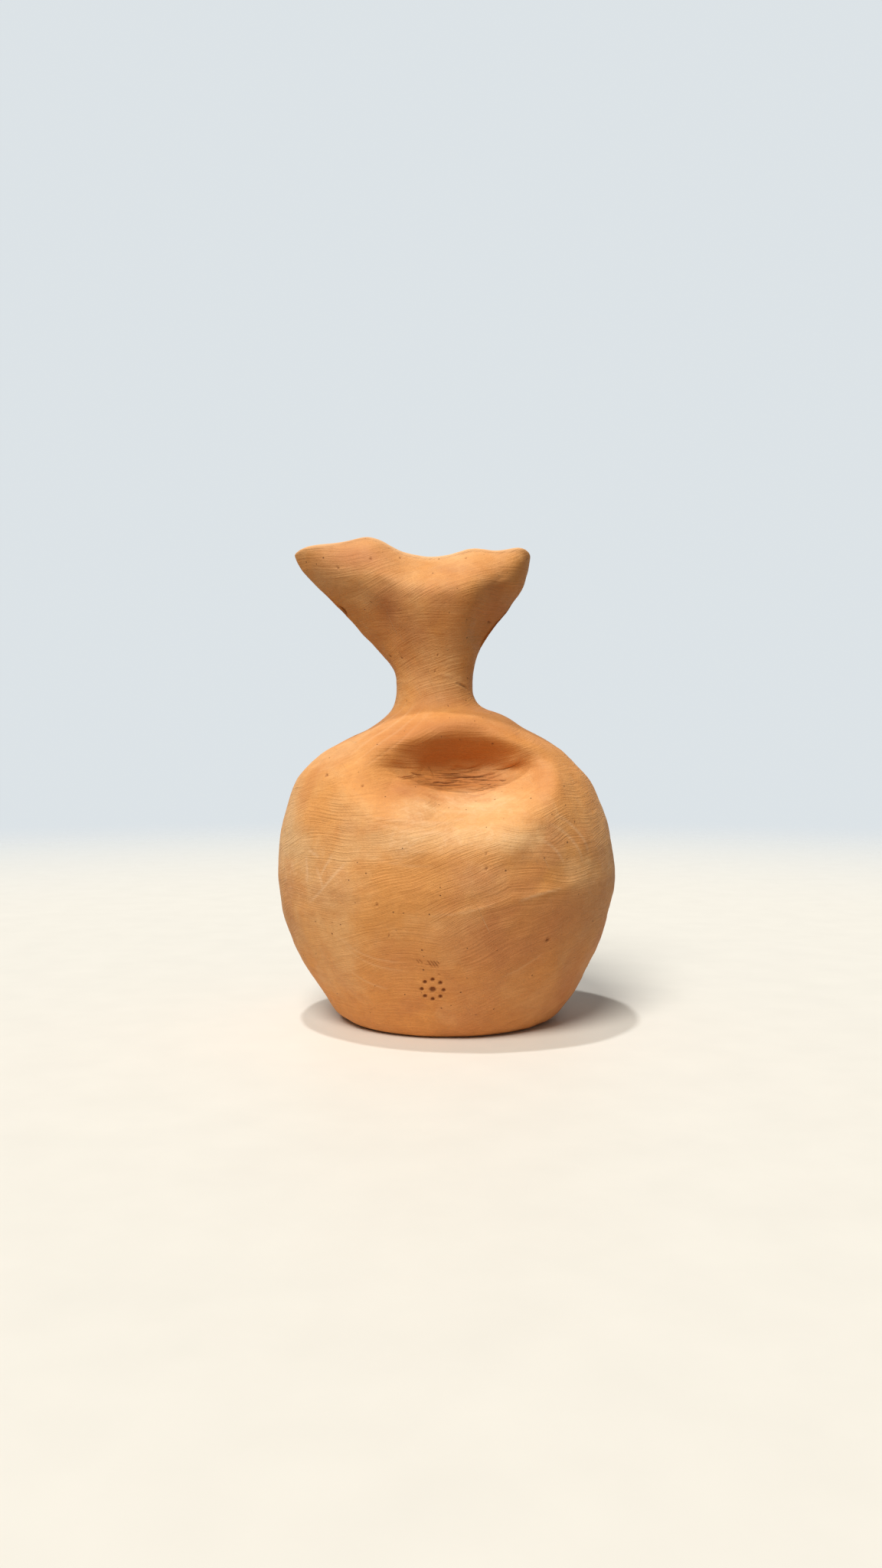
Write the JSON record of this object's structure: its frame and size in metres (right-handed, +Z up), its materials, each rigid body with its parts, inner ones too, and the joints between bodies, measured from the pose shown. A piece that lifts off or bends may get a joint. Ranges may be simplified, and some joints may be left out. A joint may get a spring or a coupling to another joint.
{
  "type": "terracotta vase",
  "caption": "Hand-built unglazed terracotta vase with a round dented belly, a narrow neck and a flat flared mouth with pointed tips.",
  "frame": {"origin": "middle of the flat face that the vase stands on", "axes": "+Z up, -Y out of the dented front, +X to the right of someone facing the front"},
  "size_m": [0.2111, 0.2, 0.2999],
  "materials": {
    "terracotta": "unglazed matte"
  },
  "bodies": {
    "root": {"floor_slab": "terracotta", "lower_bowl": "terracotta", "upper_bowl": "terracotta", "neck_collar": "terracotta", "mouth_front": "terracotta", "mouth_back": "terracotta"}
  },
  "joints": []
}
